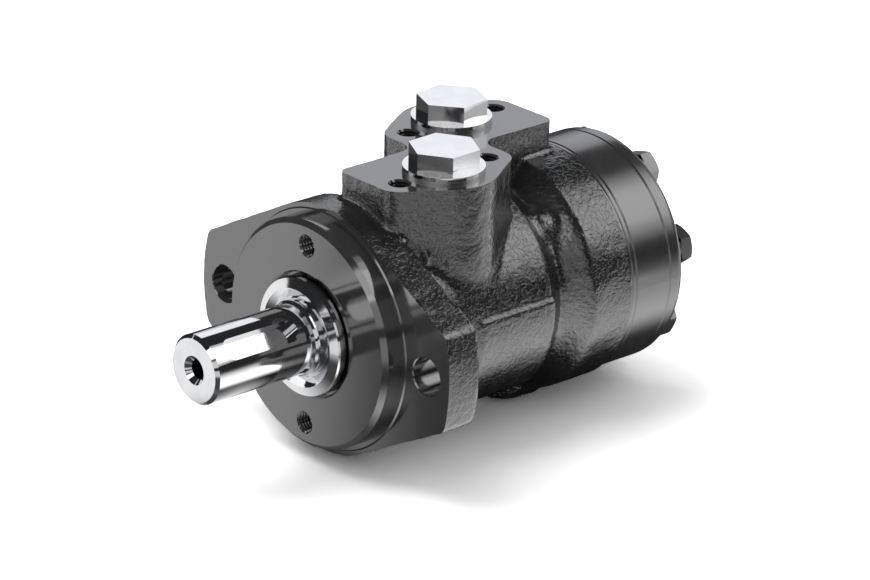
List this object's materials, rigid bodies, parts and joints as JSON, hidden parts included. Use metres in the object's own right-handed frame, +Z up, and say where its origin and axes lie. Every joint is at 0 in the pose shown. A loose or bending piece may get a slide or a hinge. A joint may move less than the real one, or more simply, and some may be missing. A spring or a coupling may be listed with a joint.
{
  "type": "orbital hydraulic motor",
  "caption": "Orbital hydraulic motor with an oval flange, a keyed parallel output shaft, plugged side ports on top, and an orbiting gear set bolted on behind.",
  "frame": {"origin": "on the shaft axis, in the mounting face of the flange", "axes": "-Y along the output shaft out of the motor, +Z up out of the port face, X through the two ears of the flange"},
  "size_m": [0.1296, 0.196, 0.1092],
  "materials": {
    "cast_body": "gray paint over a cast surface, turned faces bare",
    "gear_housing": "smooth gray paint",
    "ground_steel": "ground",
    "shaft_steel": "polished",
    "cap_steel": "bright pressed steel",
    "plug_steel": "zinc plated",
    "plug_washer": "matte",
    "screw_steel": "dark zinc plated",
    "copper_washer": "dull copper",
    "seal_rubber": "matte black",
    "cage_brass": "satin"
  },
  "bodies": {
    "body": {"housing": "cast_body", "dust_seal": "seal_rubber", "shaft_seal": "seal_rubber", "seal_backup_ring": "ground_steel", "thrust_washer_front": "ground_steel", "spacer_plate": "ground_steel", "gear_ring": "gear_housing", "end_cover": "gear_housing", "end_cover_screws": "screw_steel", "screw_washers": "screw_steel", "o_ring_body": "seal_rubber", "o_ring_gear": "seal_rubber", "o_ring_cover": "seal_rubber", "port_plug_front": "plug_steel", "port_plug_rear": "plug_steel", "plug_seal_front": "plug_washer", "plug_seal_rear": "plug_washer", "drain_plug": "plug_steel", "drain_seal": "copper_washer"},
    "output": {"output_shaft": "shaft_steel", "dust_cap": "cap_steel", "thrust_washer_rear": "ground_steel"},
    "thrust_bearing": {"thrust_cage": "cage_brass", "thrust_needles": "ground_steel"},
    "orbit": {"cardan_spacer": "ground_steel"},
    "gear_rotor": {"rotor": "ground_steel"},
    "cardan": {"cardan_shaft": "ground_steel"},
    "ball_left": {"check_ball_left": "ground_steel"},
    "ball_right": {"check_ball_right": "ground_steel"}
  },
  "joints": [
    {"name": "output_spin", "type": "hinge", "parent": "body", "child": "output", "pos_m": [0, 0, 0], "axis": [0, 1, 0], "continuous": true},
    {"name": "thrust_spin", "type": "hinge", "parent": "body", "child": "thrust_bearing", "pos_m": [0, 0.014, 0], "axis": [0, 1, 0], "continuous": true},
    {"name": "orbit_spin", "type": "hinge", "parent": "body", "child": "orbit", "pos_m": [0, 0.1172, 0], "axis": [0, 1, 0], "continuous": true},
    {"name": "rotor_spin", "type": "hinge", "parent": "orbit", "child": "gear_rotor", "pos_m": [0, 0.1172, 0.0026], "axis": [0, 1, 0], "continuous": true},
    {"name": "cardan_spin", "type": "hinge", "parent": "orbit", "child": "cardan", "pos_m": [0, 0.035, 0], "axis": [0, 0.9995, 0.0316], "continuous": true},
    {"name": "ball_left_lift", "type": "slide", "parent": "body", "child": "ball_left", "axis": [0, 1, 0], "range_m": [0, 0.0022]},
    {"name": "ball_right_lift", "type": "slide", "parent": "body", "child": "ball_right", "axis": [0, 1, 0], "range_m": [0, 0.0022]}
  ],
  "couplings": [
    {"joint": "thrust_spin", "follows": "output_spin", "ratio": 0.5},
    {"joint": "orbit_spin", "follows": "output_spin", "ratio": -6},
    {"joint": "rotor_spin", "follows": "output_spin", "ratio": 7},
    {"joint": "cardan_spin", "follows": "output_spin", "ratio": 7}
  ]
}
